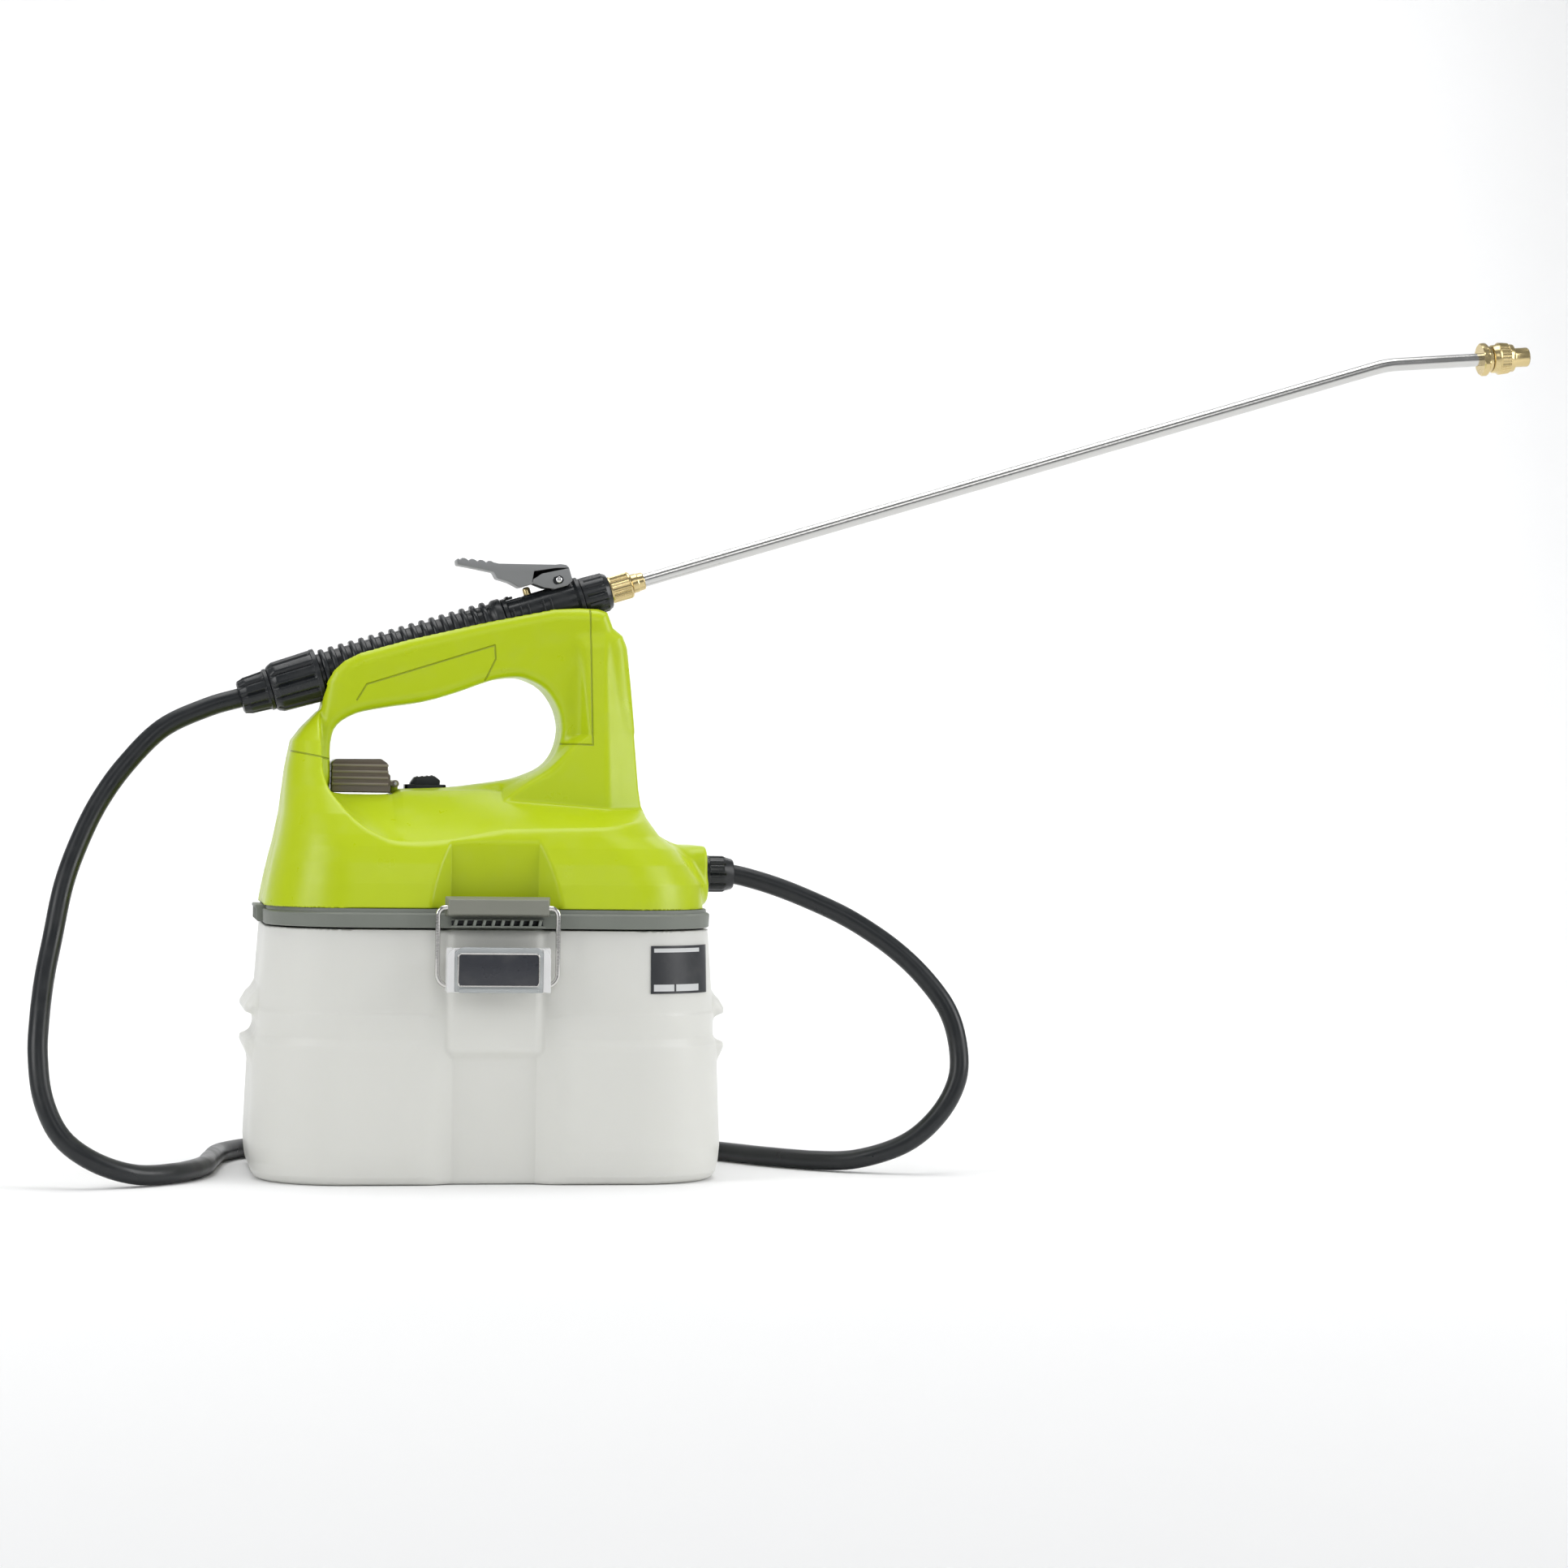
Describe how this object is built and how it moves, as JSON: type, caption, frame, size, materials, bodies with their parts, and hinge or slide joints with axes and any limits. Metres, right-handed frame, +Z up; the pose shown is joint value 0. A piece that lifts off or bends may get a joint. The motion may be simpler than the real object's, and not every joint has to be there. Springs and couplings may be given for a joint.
{
  "type": "backpack sprayer",
  "caption": "Cordless tank sprayer: housing with hand grip on a translucent tank, hose, and a trigger lance with steel wand and brass nozzle resting in the handle.",
  "frame": {"origin": "centre of the tank base, on the floor", "axes": "+X towards the outlet and along the lance, -Y the front latch, +Z up"},
  "size_m": [0.7934, 0.206, 0.4462],
  "materials": {
    "tank_plastic": "translucent natural polyethylene, satin",
    "green_plastic": "lime green moulded, satin gloss",
    "grey_plastic": "grey-green moulded, satin",
    "trigger_plastic": "mid grey moulded",
    "black_plastic": "black moulded, satin gloss",
    "smoke_plastic": "smoked translucent",
    "clear_plastic": "clear moulded",
    "hose_rubber": "smooth black",
    "seal_rubber": "matt black",
    "steel": "bright drawn",
    "brass": "turned and knurled",
    "motor_steel": "zinc grey",
    "label_film": "dark satin film, blank"
  },
  "bodies": {
    "base": {"tank": "tank_plastic", "tank_gasket": "seal_rubber", "collar_ring": "grey_plastic", "catch_front": "grey_plastic", "catch_rear": "grey_plastic", "base_plate": "grey_plastic", "shell_front": "green_plastic", "shell_rear": "green_plastic", "housing_screws": "steel", "battery_pack": "black_plastic", "battery_contacts": "brass", "switch_housing": "black_plastic", "motor_can": "motor_steel", "motor_bracket": "grey_plastic", "pump_head": "black_plastic", "intake_tube": "steel", "intake_filter": "black_plastic", "outlet_tube": "tank_plastic", "outlet_fitting": "black_plastic", "outlet_nut": "black_plastic", "hose": "hose_rubber", "door_pin": "steel", "latch_bracket_front": "grey_plastic", "latch_pin_front": "steel", "latch_bracket_rear": "grey_plastic", "latch_pin_rear": "steel", "rating_plate": "label_film"},
    "door": {"battery_door": "smoke_plastic"},
    "rocker": {"power_rocker": "black_plastic"},
    "rotor": {"pump_rotor": "steel"},
    "lever_front": {"latch_lever_front": "clear_plastic", "latch_badge_front": "label_film"},
    "bail_front": {"latch_bail_front": "steel", "bail_grip_front": "grey_plastic"},
    "lever_rear": {"latch_lever_rear": "clear_plastic", "latch_badge_rear": "label_film"},
    "bail_rear": {"latch_bail_rear": "steel", "bail_grip_rear": "grey_plastic"},
    "lance": {"hose_nut": "black_plastic", "grip_nut": "black_plastic", "lance_core": "black_plastic", "lance_grip": "black_plastic", "valve_body": "black_plastic", "trigger_pin": "steel", "front_cap": "black_plastic", "gland_nut": "brass"},
    "stem": {"valve_stem": "brass"},
    "trigger": {"trigger_lever": "trigger_plastic"},
    "lock": {"trigger_lock": "black_plastic"},
    "wand": {"wand_tube": "steel", "wand_collar": "brass", "nozzle_base": "brass"},
    "tip": {"nozzle_tip": "brass"}
  },
  "joints": [
    {"name": "lance_lift", "type": "slide", "parent": "base", "child": "lance", "axis": [-0.2974, 0, 0.9548], "range_m": [0, 0.04], "deforming": ["hose"]},
    {"name": "trigger_press", "type": "hinge", "parent": "lance", "child": "trigger", "pos_m": [0.03688, 0, 0.30601], "axis": [0, -1, 0], "range_deg": [0, 12], "stiffness_Nm_per_rad": 0.35, "springref_deg": -20.05},
    {"name": "stem_push", "type": "slide", "parent": "lance", "child": "stem", "axis": [0.2974, 0, -0.9548], "range_m": [0, 0.0045]},
    {"name": "lock_slide", "type": "slide", "parent": "lance", "child": "lock", "axis": [0.9548, 0, 0.2974], "range_m": [0, 0.0025]},
    {"name": "wand_swivel", "type": "hinge", "parent": "lance", "child": "wand", "pos_m": [0.07548, 0, 0.30484], "axis": [0.9548, 0, 0.2974], "continuous": true},
    {"name": "tip_turn", "type": "hinge", "parent": "wand", "child": "tip", "pos_m": [0.48411, 0, 0.43211], "axis": [0.9962, 0, 0.0872], "range_deg": [0, 540]},
    {"name": "door_hinge", "type": "hinge", "parent": "base", "child": "door", "pos_m": [-0.0464, 0, 0.1994], "axis": [0, 1, 0], "range_deg": [0, 70]},
    {"name": "rocker_tilt", "type": "hinge", "parent": "base", "child": "rocker", "pos_m": [-0.0305, 0, 0.195], "axis": [0, 1, 0], "range_deg": [0, 14]},
    {"name": "rotor_spin", "type": "hinge", "parent": "base", "child": "rotor", "pos_m": [0, 0, 0.16], "axis": [1, 0, 0], "continuous": true},
    {"name": "lever_front_swing", "type": "hinge", "parent": "base", "child": "lever_front", "pos_m": [0, -0.0855, 0.1131], "axis": [-1, 0, 0], "range_deg": [0, 95]},
    {"name": "bail_front_swing", "type": "hinge", "parent": "lever_front", "child": "bail_front", "pos_m": [0, -0.0842, 0.0996], "axis": [-1, 0, 0], "range_deg": [-95, 0]},
    {"name": "lever_rear_swing", "type": "hinge", "parent": "base", "child": "lever_rear", "pos_m": [0, 0.0855, 0.1131], "axis": [1, 0, 0], "range_deg": [0, 95]},
    {"name": "bail_rear_swing", "type": "hinge", "parent": "lever_rear", "child": "bail_rear", "pos_m": [0, 0.0842, 0.0996], "axis": [1, 0, 0], "range_deg": [-95, 0]}
  ],
  "couplings": [
    {"joint": "stem_push", "follows": "trigger_press", "m_per_rad": 0.0196},
    {"joint": "bail_front_swing", "follows": "lever_front_swing", "ratio": -1},
    {"joint": "bail_rear_swing", "follows": "lever_rear_swing", "ratio": -1}
  ]
}
